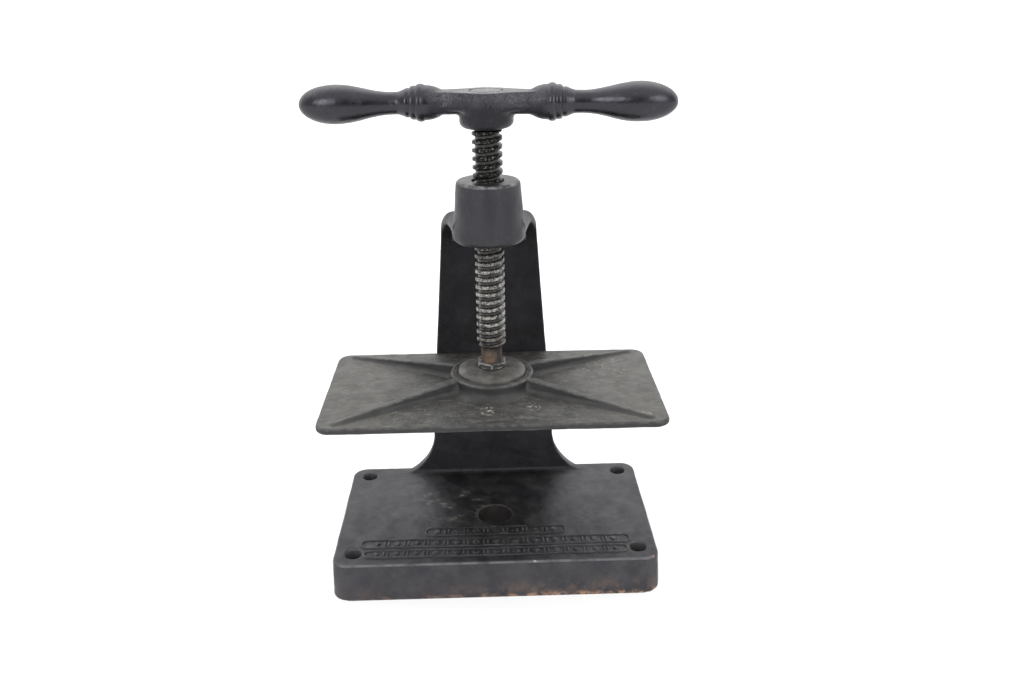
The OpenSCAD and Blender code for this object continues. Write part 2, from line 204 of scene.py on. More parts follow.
def mesh_field(name, field, low, high, step, ripple):
    """A mesh of the field's surface with its ripple, with shading normals and the corner masks for
    wear, dirt, painted highlights and painted shade.
    """
    low = np.asarray(low, float) - 2 * step
    counts = np.ceil((np.asarray(high, float) + 2 * step - low) / (step * BLOCK)).astype(int)
    grid = openvdb.FloatGrid(100.0)
    grid.copyFromArray(sample_blocks(field, low, counts, step))
    points, quads = grid.convertToQuads(isovalue=0.0)
    p = low + points.astype(float) * step

    def cast(x, y, z):
        return field(x, y, z) + ripple(x, y, z)

    for _ in range(PULL_STEPS):
        g = slope(cast, p, 0.05)
        d = cast(*p.T)[:, None]
        p -= np.clip(d / np.maximum((g * g).sum(1, keepdims=True), 0.2), -step, step) * g
    normals = unit(slope(cast, p, 0.25))

    mesh = bpy.data.meshes.new(name)
    mesh.vertices.add(len(p))
    mesh.vertices.foreach_set("co", (p * MM).ravel())
    mesh.loops.add(len(quads) * 4)
    mesh.loops.foreach_set("vertex_index", quads.ravel())
    mesh.polygons.add(len(quads))
    mesh.polygons.foreach_set("loop_start", np.arange(len(quads)) * 4)
    mesh.update(calc_edges=True)
    mesh.validate()
    mesh.polygons.foreach_set("use_smooth", np.ones(len(mesh.polygons), bool))
    mesh.normals_split_custom_set_from_vertices(normals)
    corner_masks(mesh, field, p)
    return place(name, mesh)


def store(mesh, name, values):
    """Keeps one number for each point of a mesh, for a material to read."""
    layer = mesh.attributes.new(name, "FLOAT", "POINT")
    layer.data.foreach_set("value", np.asarray(values, np.float32))


def place(name, data):
    """A new object in the scene that holds a mesh or a camera."""
    obj = bpy.data.objects.new(name, data)
    bpy.context.scene.collection.objects.link(obj)
    return obj


# ---------------------------------------------------------------- frame casting

BASE_HALF_W = 126.0
BASE_HALF_D = 75.0
BASE_MID_Y = 6.0
BASE_H = 31.0
BASE_DRAFT = 1.5
BASE_CORNER = 12.0
BASE_EDGE_R = 1.7
WALL = 9.0
ROOM_CORNER = 6.0
ROOM_FILLET = 3.0
BOLT_X = 111.0
BOLT_Y = 60.0
BOLT_MID_Y = 7.0
BOLT_R = 6.5
BOLT_EDGE_R = 1.3
BOLT_PAD_R = 14.0
CENTRE_R = 14.0
CENTRE_EDGE_R = 1.2
CENTRE_PAD_R = CENTRE_R + 8
# The centre hole is cut below this height only, so that it spares the boss.
CENTRE_TOP = 100.0
WEB_HALF = 4.0
COLUMN_PAD = (75.0, 13.0)
COLUMN_PAD_Y = 68.0

THROAT = 71.0
STRIP_T = 10.0
STRIP_BACK_R = 7.0
STRIP_FRONT_R = 1.1
LEDGE = 0.5
LEDGE_HALF = 0.6
ARM_Z = 266.0
BEND_R = 25.0
BEND_Y = THROAT - BEND_R
BEND_Z = ARM_Z - BEND_R
TOP_HALF_W = 40.0
FOOT_HALF_W = 55.0
FLARE_R = 46.0
FLARE_H = 40.0
BOSS_H = 45.0
BOSS_LOW_R = 27.2
BOSS_HIGH_R = 23.4
BOSS_TOP_EDGE_R = 2.4
BOSS_LOW_EDGE_R = 5.0
BOSS_FILLET = 9.0
BOSS_MOUTH_R = 11.7
RIB_HALF = 6.0
RIB_BACK = 107.0
RIB_EDGE_R = 2.2
RIB_FILLET = 5.0

COLUMN_SLOPE = (FOOT_HALF_W - TOP_HALF_W) / (BEND_Z - BASE_H)
FLARE_Z = BASE_H + FLARE_H
FLARE_X = TOP_HALF_W + (BEND_Z - FLARE_Z) * COLUMN_SLOPE + FLARE_R * math.hypot(1, COLUMN_SLOPE)
BOSS_TOP = ARM_Z + BOSS_H
ARM_RISE = TOP_HALF_W - BOSS_LOW_R
ARM_SIDE_R = (THROAT**2 + ARM_RISE**2) / (2 * ARM_RISE)
SET_SCREW_R = 4.05
SET_SCREW_FROM = 12.0
SET_SCREW_Z = BOSS_TOP - 21
SET_SCREW_TURN = math.radians(40)

RIB_TURN = BEND_R + STRIP_T + 18
RIB_OUTLINE = (
    [(80, 1), (80, -4), (RIB_BACK - 6, -4), (RIB_BACK - 6, 0), (RIB_BACK, 2 * BASE_H)]
    + arc(RIB_BACK - RIB_TURN, BEND_Z - 12, RIB_TURN, 0, 62)
    + [(BOSS_HIGH_R - 5, BOSS_TOP - 8), (BOSS_HIGH_R - 5, ARM_Z + 3), (BEND_Y, ARM_Z + 3)]
    + arc(BEND_Y, BEND_Z, BEND_R + 3, 90, 0)
    + [(THROAT + 3, BASE_H + 1), (THROAT + 3, 20), (80, 20)]
)


def bolt_reach(x, y):
    """Distance from the axis of the nearest bolt hole."""
    return np.hypot(np.abs(x) - BOLT_X, np.abs(y - BOLT_MID_Y) - BOLT_Y)


def base_field(x, y, z):
    """The base: a drafted block, hollow below, with pads at its holes and webs between them."""
    lean = BASE_DRAFT * (1 - z / BASE_H)
    walls = round_rect(x, y - BASE_MID_Y, BASE_HALF_W, BASE_HALF_D, BASE_CORNER) - lean
    block = both(walls, z - BASE_H, BASE_EDGE_R)
    room = round_rect(x, y - BASE_MID_Y, BASE_HALF_W - WALL, BASE_HALF_D - WALL, ROOM_CORNER)
    room = both(room, z - (BASE_H - WALL), ROOM_FILLET)
    block = both(block, -room, 1.2)
    bolt_pad = bolt_reach(x, y) - BOLT_PAD_R
    centre_pad = np.hypot(x, y) - CENTRE_PAD_R
    web = both(np.minimum(np.abs(x), np.abs(y)) - WEB_HALF, BASE_H / 4 - z, 1.5)
    column_pad = both(round_rect(x, y - COLUMN_PAD_Y, *COLUMN_PAD, 3), -z, 1)
    inside = join(np.minimum(bolt_pad, column_pad), centre_pad, ROOM_FILLET)
    inside = join(inside, web, ROOM_FILLET)
    inside = np.maximum(inside, np.maximum(walls + 0.6, z - (BASE_H - 4)))
    return join(block, inside, 2.5 * ramp(-walls, 2, 6) + 0.01)


def strip_field(x, y, z):
    """The bent plate: up the column, round the bend and forward along the arm."""
    turn = np.hypot(y - BEND_Y, z - BEND_Z) - BEND_R
    up = np.where(z <= BEND_Z, y - THROAT, -FAR)
    along = np.where(y <= BEND_Y, z - ARM_Z, -FAR)
    around = (y > BEND_Y) & (z > BEND_Z)
    out = np.where(around, turn, np.maximum(up, along))
    ledge = LEDGE * ramp(-z, -BEND_Z - LEDGE_HALF, -BEND_Z + LEDGE_HALF)

    straight = np.abs(x) - TOP_HALF_W - (BEND_Z - z) * COLUMN_SLOPE
    flare = FLARE_R - np.hypot(np.minimum(np.abs(x) - FLARE_X, 0), z - FLARE_Z)
    front = np.where(z < FLARE_Z + FLARE_R * COLUMN_SLOPE, flare, straight)
    front = np.maximum(front, np.abs(x) - FLARE_X)
    yc = np.clip(y, 0, THROAT + STRIP_T)
    plan = np.abs(x) - BOSS_LOW_R - ARM_SIDE_R + np.sqrt(ARM_SIDE_R**2 - yc**2)
    sides = np.maximum(front, np.where((y < THROAT) & (z > BEND_Z - LEDGE_HALF), plan, -FAR))
    strip = both(out - STRIP_T, sides, STRIP_BACK_R - 4.0 * ramp(-z, -FLARE_Z, -BASE_H - 8))
    strip = both(strip, -out - ledge, STRIP_FRONT_R)
    return np.maximum(strip, np.maximum(BASE_H - 6 - z, -2 - y))


def frame_field(x, y, z):
    """The whole casting: base, bent plate, boss and rear rib, less every hole."""
    base = base_field(x, y, z)
    strip = strip_field(x, y, z)
    body = join(base, strip, 4.0 * ramp(-y, -80, -76) + 0.05)

    radius = BOSS_LOW_R - (z - ARM_Z) * (BOSS_LOW_R - BOSS_HIGH_R) / BOSS_H
    reach = np.hypot(x, y)
    boss = both(reach - radius, z - BOSS_TOP, BOSS_TOP_EDGE_R)
    boss = both(boss, ARM_Z - z, BOSS_LOW_EDGE_R)
    body = join(body, boss, 0.8 + BOSS_FILLET * ramp(z, ARM_Z + 5, ARM_Z + 14))

    rib = both(np.abs(x) - RIB_HALF, polygon(y, z, RIB_OUTLINE), RIB_EDGE_R)
    body = np.maximum(join(body, rib, RIB_FILLET), -z)

    body = both(body, BOLT_R - bolt_reach(x, y), BOLT_EDGE_R)
    body = both(body, CENTRE_R - reach + np.where(z > CENTRE_TOP, -1e3, 0), CENTRE_EDGE_R)
    bore = np.maximum(reach - (NUT_HIGH[0] + 0.02), z - NUT_HIGH[2])
    bore = np.minimum(bore, reach - BOSS_MOUTH_R)
    body = both(body, -np.maximum(bore, ARM_Z - 10 - z), 0.7)
    along = x * math.cos(SET_SCREW_TURN) + y * math.sin(SET_SCREW_TURN)
    aside = -x * math.sin(SET_SCREW_TURN) + y * math.cos(SET_SCREW_TURN)
    across = np.hypot(aside, z - SET_SCREW_Z)
    return both(body, -np.maximum(across - SET_SCREW_R, SET_SCREW_FROM - along), 0.6)


FRAME_WAVES = Waves(3, ((45, 0.10, 9), (11, 0.04, 9)))


def frame_ripple(x, y, z):
    """The mould's ripples, faded out at the foot so that it stands flat on the floor."""
    return FRAME_WAVES(x, y, z) * ramp(z, 0.5, 5)


frame_casting = mesh_field("cast_frame", frame_field, CAST_LOW, CAST_HIGH, 0.95, frame_ripple)

# ---------------------------------------------------------------- blank ornament on the base

# Width, depth and middle of each row.
ORNAMENT_ROWS = ((114.0, 12.0, -25.5), (214.0, 12.0, -41.0), (207.0, 11.0, -54.8))
ORNAMENT_PITCH = 7.8
RIM_RISE = 0.9
FIGURE_RISE = 0.95


def ornament_height(x, y, half_w, half_d):
    """Height over the base's top: a raised rim round a row of beads, reels and lozenges."""
    outline = round_rect(x, y, half_w, half_d, half_d - 0.5)
    rim = RIM_RISE * (1 - ramp(np.abs(outline + 1.0), 0.45, 1.15))
    number = np.round(x / ORNAMENT_PITCH)
    u = x - number * ORNAMENT_PITCH
    tall = half_d - 2.6
    bead = np.hypot(u / 2.7, y / tall) - 1
    reel = np.maximum(np.abs(np.abs(u) - 1.5) / 0.8, np.abs(y) / tall) - 1
    lozenge = np.abs(u) / 3.1 + np.abs(y) / tall - 1
    kind = np.mod(number, 4)
    shape = np.where(kind == 0, lozenge, np.where(kind == 2, bead, reel))
    shape = np.where(np.abs(number * ORNAMENT_PITCH) > half_w - 8, 1.0, shape)
    raised = FIGURE_RISE * (1 - ramp(shape, -0.35, 0.12))
    return np.maximum(rim, raised) - 0.35 * ramp(outline, -0.1, 0.5)


def make_ornament():
    """Each row as a height map on a shallow closed block, sunk a little into the base."""
    bm = bmesh.new()
    step = 0.34
    for width, depth, mid_y in ORNAMENT_ROWS:
        half_w, half_d = width / 2, depth / 2
        xs = np.linspace(-half_w - 1, half_w + 1, int((width + 2) / step))
        ys = np.linspace(-half_d - 1, half_d + 1, int((depth + 2) / step))
        gx, gy = np.meshgrid(xs, ys, indexing="ij")
        top = BASE_H + ornament_height(gx, gy, half_w, half_d)
        grid = [[bm.verts.new((gx[i, j] * MM, (gy[i, j] + mid_y) * MM, top[i, j] * MM))
                 for j in range(len(ys))] for i in range(len(xs))]
        for i in range(len(xs) - 1):
            for j in range(len(ys) - 1):
                bm.faces.new((grid[i][j], grid[i + 1][j], grid[i + 1][j + 1], grid[i][j + 1]))
        rim = ([row[0] for row in grid] + grid[-1][1:] + [row[-1] for row in grid[-2::-1]]
               + grid[0][-2:0:-1])
        floor = [bm.verts.new((v.co.x, v.co.y, (BASE_H - 1.2) * MM)) for v in rim]
        for k in range(len(rim)):
            n = (k + 1) % len(rim)
            bm.faces.new((rim[n], rim[k], floor[k], floor[n]))
        bm.faces.new(floor[::-1])
    mesh = bpy.data.meshes.new("base_ornament")
    bmesh.ops.recalc_face_normals(bm, faces=bm.faces)
    bm.to_mesh(mesh)
    bm.free()
    mesh.polygons.foreach_set("use_smooth", np.ones(len(mesh.polygons), bool))
    heights = np.array([v.co.z for v in mesh.vertices]) / MM - BASE_H
    store(mesh, "edge", np.clip((heights - 0.35) * 2.2, 0, 1))
    store(mesh, "hollow", np.clip(0.55 - heights, 0, 1))
    return place("base_ornament", mesh)


base_ornament = make_ornament()

# ---------------------------------------------------------------- platen

PLATEN_Z = PLATE_LOW[2]
PLATEN_X = PLATE_HIGH[0]
PLATEN_Y = PLATE_HIGH[1]
EDGE_T = 5.0
CROWN = 2.0
RIB_END_RISE = 1.6
HUB_R = 32.2
HUB_H = 18.0
CAP_R = 26.7
CAP_T = 5.5
RIB_START = 28.7
RIB_END = math.hypot(PLATEN_X, PLATEN_Y) - 15
RIB_ANGLE = math.atan2(PLATEN_Y, PLATEN_X)
PLATEN_CORNER = 11.0
CROWN_SHARE = 0.6
PLATEN_RIB_ROOT = 3.3
PLATEN_RIB_TIP = 1.6
PLATEN_RIB_FOOT = 3.0
HUB_FILLET = 6.0
POCKET_R = 18.0
POCKET_FLOOR = 4.0


def platen_field(x, y, world_z):
    """The platen: a crowned plate, a hub ring and four diagonal ribs, less the cap's well."""
    z = world_z - PLATEN_Z
    ax, ay = np.abs(x), np.abs(y)
    rise_x = (1 - ax / PLATEN_X) / CROWN_SHARE
    rise_y = (1 - ay / PLATEN_Y) / CROWN_SHARE
    rise = np.minimum(np.minimum(rise_x, rise_y), 1.0)
    side = round_rect(x, y, PLATEN_X, PLATEN_Y, PLATEN_CORNER)
    plate = both(side, z - EDGE_T - CROWN * rise, 2.0)

    r = np.hypot(x, y)
    hub = both(r - HUB_R - 0.06 * (HUB_H - z), z - HUB_H, 1.8)
    body = join(plate, hub, HUB_FILLET)

    u = ax * math.cos(RIB_ANGLE) + ay * math.sin(RIB_ANGLE)
    v = np.abs(-ax * math.sin(RIB_ANGLE) + ay * math.cos(RIB_ANGLE))
    share = np.clip((u - RIB_START) / (RIB_END - RIB_START), 0, 1)
    half = PLATEN_RIB_ROOT + (PLATEN_RIB_TIP - PLATEN_RIB_ROOT) * share
    slant = np.clip((u - HUB_R - 2) / (RIB_END - HUB_R - 2), 0, 1)
    top = (HUB_H - 0.6) * (1 - slant) + (EDGE_T + RIB_END_RISE) * slant
    rib = both(v - half - 0.12 * (top - z), z - top, 1.2)
    rib = both(np.maximum(rib, RIB_START - u), u - RIB_END, 1.5)
    body = join(body, rib, 0.6 + PLATEN_RIB_FOOT * ramp(HUB_H - z, 1.5, 7))
    body = both(body, -z, 1.4)

    cap_floor = CAP_LOW[2] - PLATEN_Z
    well = np.maximum(r - CAP_R, cap_floor - z)
    pocket = np.maximum(r - POCKET_R, POCKET_FLOOR - z)
    return both(body, -np.minimum(well, pocket), 0.5)


platen = mesh_field(
    "cast_platen",
    platen_field,
    PLATE_LOW,
    PLATE_HIGH,
    0.8,
    Waves(5, ((34, 0.07, 9), (9, 0.04, 9))),
)

# ---------------------------------------------------------------- cap in the platen's hub

HEX_HALF = 10.3
DOME_FLAT_R = 12.5
DOME_RISE = 4.1
CAP_GAP = 0.35
CAP_BORE_R = 8.06


def cap_field(x, y, world_z):
    """The cap: a domed disc with a hexagon on a thin flange, bored for the screw's neck."""
    z = world_z - CAP_LOW[2]
    r = np.hypot(x, y)
    past = np.maximum(r - DOME_FLAT_R, 0) / (CAP_R - CAP_GAP - DOME_FLAT_R)
    dome = DOME_RISE * np.sqrt(np.maximum(1 - past**2, 0)) - 6 * np.maximum(past - 1, 0)
    disc = both((z - CAP_T - 0.4 - dome) * 0.8, r - CAP_R + CAP_GAP, 0.7)
    disc = np.maximum(disc, -z)
    hexagon = np.full(x.shape, -FAR)
    for angle in (0, 60, 120):
        a = math.radians(angle)
        hexagon = np.maximum(hexagon, np.abs(x * math.cos(a) + y * math.sin(a)) - HEX_HALF)
    hex_top = CAP_HIGH[2] - CAP_LOW[2]
    hex_low = CAP_T + DOME_RISE + 0.4
    hexagon = both(hexagon, z - hex_top, 0.4)
    hexagon = both(hexagon, (r - HEX_HALF - 1.1 + (z - hex_top) * 1.6) * 0.53, 0.3)
    hexagon = both(hexagon, hex_low + 0.5 - z, 0.2)
    flange = both(r - HEX_HALF - 0.9, np.abs(z - hex_low - 0.9) - 0.5, 0.3)
    stem = np.maximum(r - HEX_HALF + 1.4, np.maximum(2 - z, z - hex_low - 2))
    body = np.minimum(disc, np.minimum(join(hexagon, flange, 0.3), stem))
    return both(body, CAP_BORE_R - r, 0.4)


gland_cap = mesh_field(
    "gland_cap_cast",
    cap_field,
    CAP_LOW,
    CAP_HIGH,
    0.42,
    Waves(7, ((14, 0.06, 7), (5, 0.03, 7))),
)

# ---------------------------------------------------------------- handle

HANDLE_Z = HANDLE_LOW[2]
BAR_TOP = SCREW_HIGH[2]
GRIP_Z = BAR_TOP - 8.0
HANDLE_TURN = math.radians(-5)
HANDLE_HALF = 133.5
GRIP_R = 13.8
GRIP_NECK_R = 7.9
GRIP_WIDEST = 0.8 * HANDLE_HALF
GRIP_NECK = 0.5 * HANDLE_HALF
HANDLE_SAG = 0.015
BEAD_R = 13.1
URN_MID = 44.0
URN_HALF = 18.0
URN_EDGE = 45.4
BAR_HALF = 45.0
SWELL_HALF = 34.0
HUB_LOW_R = 19.2
RIVET_RECESS_R = 12.05
SHANK_BORE_R = 8.02
PIN_R = 3.06
PIN_DROP = 4.0


def bead(s, mid, top_r, base_r, half_w):
    """Radius of one turned bead, and nothing beside it."""
    inside = np.clip(1 - ((s - mid) / half_w) ** 2, 0, 1)
    return np.where(np.abs(s - mid) >= half_w, 0, base_r + (top_r - base_r) * np.sqrt(inside))


def grip_radius(s):
    """Radius of the grip at a distance s from the screw's axis."""
    past = (s - GRIP_WIDEST) / (HANDLE_HALF - GRIP_WIDEST)
    end = GRIP_R * np.sqrt(np.clip(1 - past**2, 0, 1))
    swell = (1 - np.cos(np.pi * (s - GRIP_NECK) / (GRIP_WIDEST - GRIP_NECK))) / 2
    middle = GRIP_NECK_R + (GRIP_R - GRIP_NECK_R) * swell
    urn = (BEAD_R - 1) * np.sqrt(np.clip(1 - ((s - URN_MID) / URN_HALF) ** 2, 0, 1))
    foot = GRIP_NECK_R + 2.2 * (1 - ramp(s, 55, 63))
    turned = np.where(s > URN_EDGE, foot, urn)
    turned = np.maximum(turned, bead(s, 46.2, BEAD_R, BEAD_R - 1.7, 2.9))
    turned = np.maximum(turned, bead(s, 50.9, BEAD_R - 1.3, BEAD_R - 2.4, 2.5))
    turned = np.maximum(turned, bead(s, 55.5, BEAD_R - 2.9, GRIP_NECK_R + 0.6, 2.6))
    return np.where(s > GRIP_WIDEST, end, np.where(s > GRIP_NECK, middle, turned))


class Lathe:
    """Distance to a turned profile, looked up in a fine table."""

    def __init__(self, radius_at, start, end, reach):
        s = np.concatenate([np.linspace(start, end, 420), [end]])
        outline = np.stack([s, radius_at(s)], axis=1)
        outline = np.concatenate([[(start, -1.0)], outline, [(end, -1.0)]])
        self.step = 0.3
        self.start = start - 8
        self.s = np.arange(self.start, end + 8, self.step)
        self.r = np.arange(0, reach, self.step)
        gs, gr = np.meshgrid(self.s, self.r, indexing="ij")
        self.table = polygon(gs, gr, outline)

    def __call__(self, s, r):
        u = np.clip((s - self.start) / self.step, 0, len(self.s) - 1.001)
        v = np.clip(r / self.step, 0, len(self.r) - 1.001)
        i, j = u.astype(int), v.astype(int)
        fu, fv = u - i, v - j
        t = self.table
        low = t[i, j] * (1 - fv) + t[i, j + 1] * fv
        high = t[i + 1, j] * (1 - fv) + t[i + 1, j + 1] * fv
        return low * (1 - fu) + high * fu


GRIP_START = 27.0
grip = Lathe(grip_radius, GRIP_START, HANDLE_HALF, 30)


def handle_field(world_x, world_y, world_z):
    """The handle: a bar that swells over its hub, and a turned grip at each end."""
    x = world_x * math.cos(HANDLE_TURN) + world_y * math.sin(HANDLE_TURN)
    y = -world_x * math.sin(HANDLE_TURN) + world_y * math.cos(HANDLE_TURN)
    z = world_z - GRIP_Z + HANDLE_SAG * np.maximum(-x - 20, 0)
    ax, ay = np.abs(x), np.abs(y)
    grips = grip(ax, np.hypot(y, z))

    bar = both(both(np.hypot(y, z + 0.5) - 10.4, -8 - z, 2.5), ax - BAR_HALF, 1)
    width = 10 + (HUB_LOW_R - 10) * (1 + np.cos(np.pi * np.clip(x / SWELL_HALF, -1, 1))) / 2
    swell = both(both((ay - width + 0.22 * np.maximum(z, -2)) * 0.9, -5 - z, 3), ax - SWELL_HALF, 1)
    bar = np.minimum(bar, swell)
    hub = both(np.hypot(x, y) - HUB_LOW_R, HANDLE_Z - GRIP_Z - z, 5.0)
    centre = both(join(bar, hub, 3.0), z - 8, 1.0)
    body = join(centre, grips, 1.6)

    r = np.hypot(x, y)
    body = both(body, -np.maximum(r - RIVET_RECESS_R, 5.6 - z), 0.35)
    body = both(body, SHANK_BORE_R - r, 0.5)
    pin = np.maximum(np.hypot(x, z + PIN_DROP) - PIN_R, -y)
    return both(body, -pin, 0.4)


handle = mesh_field(
    "cast_handle",
    handle_field,
    HANDLE_LOW,
    HANDLE_HIGH,
    0.62,
    Waves(11, ((24, 0.08, 9), (6, 0.015, 9))),
)

# ---------------------------------------------------------------- screw

PITCH = 6.0
CREST_R = 11.0
ROOT_R = 8.8
THREAD_LOW = 182.4
THREAD_HIGH = THREAD_LOW + 166.0
TENON_R = 5.9
NECK_R = 8.0
SHANK_R = 7.95
RIVET_R = 11.98
SCREW_SIDES = 72
ROWS_PER_TURN = 20


def thread_radius(phase):
    """Radius across one pitch of thread: a flat crest with rounded corners, and steep flanks."""
    return CREST_R - (CREST_R - ROOT_R) * ramp(np.abs(phase - 0.5), 0.16, 0.38)


def make_screw():
    """The whole screw as rings of points, with the thread's rows along its helix."""
    angle = 2 * np.pi * np.arange(SCREW_SIDES + 1) / SCREW_SIDES
    rows = (int((THREAD_HIGH - THREAD_LOW) / PITCH) + 3) * ROWS_PER_TURN + 1
    turn = np.arange(rows) / ROWS_PER_TURN - 1
    z = np.clip(THREAD_LOW + PITCH * (turn[:, None] + angle / (2 * np.pi)), THREAD_LOW, THREAD_HIGH)
    fade = ramp(z, THREAD_LOW, THREAD_LOW + 3) * (1 - ramp(z, THREAD_HIGH - 2, THREAD_HIGH))
    r = ROOT_R + (thread_radius(np.mod(turn, 1.0))[:, None] - ROOT_R) * fade

    foot_z = SCREW_LOW[2]
    shoulder_z = CAP_LOW[2] - 0.1
    rivet_z = BAR_TOP - 2.38
    foot = [(TENON_R - 0.4, foot_z), (TENON_R, foot_z + 0.4), (TENON_R, shoulder_z)]
    foot += [(NECK_R - 0.3, shoulder_z), (NECK_R, shoulder_z + 0.3)]
    foot += [(NECK_R, h) for h in np.linspace(shoulder_z + 2, THREAD_LOW - 0.8, 12)]
    foot += [(NECK_R + 0.35, THREAD_LOW - 0.2)]
    head = [(SHANK_R, THREAD_HIGH), (SHANK_R, rivet_z)]
    head += [(RIVET_R - 0.03, rivet_z), (RIVET_R, BAR_TOP - 1.3)]
    head += [(11.6, BAR_TOP - 0.5), (10.9, BAR_TOP - 0.1), (9.5, BAR_TOP)]

    count = SCREW_SIDES + 1

    def ring(radius, height):
        return np.full(count, radius), np.full(count, height)

    rings = [ring(*point) for point in foot] + list(zip(r, z)) + [ring(*point) for point in head]
    radii, heights = np.array([a for a, _ in rings]), np.array([b for _, b in rings])
    points = np.stack([radii * np.cos(angle), radii * np.sin(angle), heights], axis=-1) * MM
    faces = [(i * count + k, i * count + k + 1, (i + 1) * count + k + 1, (i + 1) * count + k)
             for i in range(len(rings) - 1) for k in range(SCREW_SIDES)]
    last = (len(rings) - 1) * count
    faces.append(tuple(range(SCREW_SIDES - 1, -1, -1)))
    faces.append(tuple(range(last, last + SCREW_SIDES)))
    mesh = bpy.data.meshes.new("screw_with_thread")
    mesh.from_pydata(points.reshape(-1, 3), [], faces)
    bm = bmesh.new()
    bm.from_mesh(mesh)
    bmesh.ops.remove_doubles(bm, verts=bm.verts, dist=2e-6)
    bmesh.ops.recalc_face_normals(bm, faces=bm.faces)
    bm.to_mesh(mesh)
    bm.free()
    mesh.polygons.foreach_set("use_smooth", np.ones(len(mesh.polygons), bool))
    mesh.set_sharp_from_angle(angle=math.radians(50))
    co = np.array([v.co for v in mesh.vertices]) / MM
    reach = np.hypot(co[:, 0], co[:, 1])
    threaded = (co[:, 2] > THREAD_LOW) & (co[:, 2] < THREAD_HIGH)
    store(mesh, "hollow", np.where(threaded, (CREST_R - reach) / (CREST_R - ROOT_R), 0.3))
    store(mesh, "edge", np.zeros(len(co)))
    return place("screw_with_thread", mesh)


press_screw = make_screw()

# ---------------------------------------------------------------- materials


class Shader:
    """A material made of nodes. Each call adds a node and gives back its output."""

    def __init__(self, name):
        self.material = bpy.data.materials.new(name)
        self.material.use_nodes = True
        self.tree = self.material.node_tree
        self.bsdf = self.tree.nodes["Principled BSDF"]
        coordinates = self.add("ShaderNodeTexCoord")
        in_mm = self.add("ShaderNodeVectorMath", (coordinates.outputs["Object"],), operation="SCALE")
        in_mm.inputs["Scale"].default_value = 1 / MM
        self.at = in_mm.outputs[0]
        self.x, self.y, self.z = self.add("ShaderNodeSeparateXYZ", (self.at,)).outputs
        self.nz = self.add("ShaderNodeSeparateXYZ", (coordinates.outputs["Normal"],)).outputs["Z"]

    def add(self, kind, inputs=(), **settings):
        node = self.tree.nodes.new(kind)
        for key, value in settings.items():
            setattr(node, key, value)
        for socket, value in zip(node.inputs, inputs):
            self.feed(socket, value)
        return node

    def feed(self, socket, value):
        """Gives an input a value, or another node's output."""
        if isinstance(value, bpy.types.NodeSocket):
            self.tree.links.new(value, socket)
        else:
            socket.default_value = value

    def math(self, operation, a, b=0.0):
        return self.add("ShaderNodeMath", (a, b), operation=operation).outputs[0]

    def times(self, first, *others):
        for other in others:
            first = self.math("MULTIPLY", first, other)
        return first

    def plus(self, a, b):
        return self.math("ADD", a, b)

    def length(self, a, b):
        """The length of the vector (a, b)."""
        return self.math("SQRT", self.plus(self.times(a, a), self.times(b, b)))

    def step(self, value, start, end, low=0.0, high=1.0):
        """Low before start, high after end, and smooth between them."""
        node = self.add("ShaderNodeMapRange", (value, start, end, low, high))
        node.interpolation_type = "SMOOTHSTEP"
        return node.outputs[0]

    def noise(self, size, detail, roughness, at=None):
        """Uneven values, mostly 0.3 to 0.7, whose features are about size millimetres across."""
        node = self.add("ShaderNodeTexNoise")
        self.feed(node.inputs["Vector"], at if at else self.at)
        node.inputs["Scale"].default_value = 1 / size
        node.inputs["Detail"].default_value = detail
        node.inputs["Roughness"].default_value = roughness
        return node.outputs["Fac"]

    def stretched(self, x, y, z):
        """The position, scaled by a different amount on each axis."""
        node = self.add("ShaderNodeVectorMath", (self.at, (x, y, z)), operation="MULTIPLY")
        return node.outputs[0]

    def mix(self, share, a, b):
        """Colour a where share is 0, and colour b where it is 1."""
        node = self.add("ShaderNodeMix", data_type="RGBA")
        self.feed(node.inputs["Factor"], share)
        for socket, value in zip([s for s in node.inputs if s.type == "RGBA"], (a, b)):
            self.feed(socket, (*value, 1.0) if isinstance(value, tuple) else value)
        return [s for s in node.outputs if s.type == "RGBA"][0]

    def mask(self, name):
        """A number stored on the mesh's points."""
        return self.add("ShaderNodeAttribute", attribute_name=name).outputs["Fac"]

    def near(self, cx, cy, cz, radius):
        """1 near a point, fading to 0 at radius."""
        away = self.add("ShaderNodeVectorMath", (self.at, (cx, cy, cz)), operation="DISTANCE")
        return self.step(away.outputs["Value"], radius, 0.35 * radius)

    def bump(self, height, distance, before=None):
        """A normal tilted by height, in millimetres of distance, on top of an earlier one."""
        node = self.add("ShaderNodeBump")
        node.inputs["Strength"].default_value = 1.0
        node.inputs["Distance"].default_value = distance * MM
        self.feed(node.inputs["Height"], height)
        if before:
            self.feed(node.inputs["Normal"], before)
        return node.outputs["Normal"]

    def finish(self, colour, roughness, normal, metallic=0.0, specular=0.5, sheen=(1.0, 1.0, 1.0)):
        """Connects the surface and gives back the material."""
        self.feed(self.bsdf.inputs["Base Color"], colour)
        self.feed(self.bsdf.inputs["Roughness"], roughness)
        self.feed(self.bsdf.inputs["Normal"], normal)
        self.feed(self.bsdf.inputs["Metallic"], metallic)
        self.feed(self.bsdf.inputs["Specular IOR Level"], specular)
        self.feed(self.bsdf.inputs["Specular Tint"], (*sheen, 1.0))
        return self.material


# Tints and colours are linear.
COLD_SHEEN = (1.0, 0.97, 1.10)
PALE_CHIP = (0.50, 0.47, 0.43)
ORANGE_RUST = (0.55, 0.30, 0.17)
BARE_EDGE = (0.15, 0.145, 0.14)
PLATEN_SPOT_Z = 150.0


def sand_skin(s, coarse, fine):
    """The bumpy skin that a sand mould leaves, with a few small pits."""
    grain = s.noise(1.6, 4, 0.6)
    pits = s.step(s.noise(2.6, 2, 0.5), 0.30, 0.39)
    skin = s.bump(s.noise(7, 3, 0.5), coarse)
    skin = s.bump(grain, fine, skin)
    return s.bump(pits, 0.6 * fine, skin)


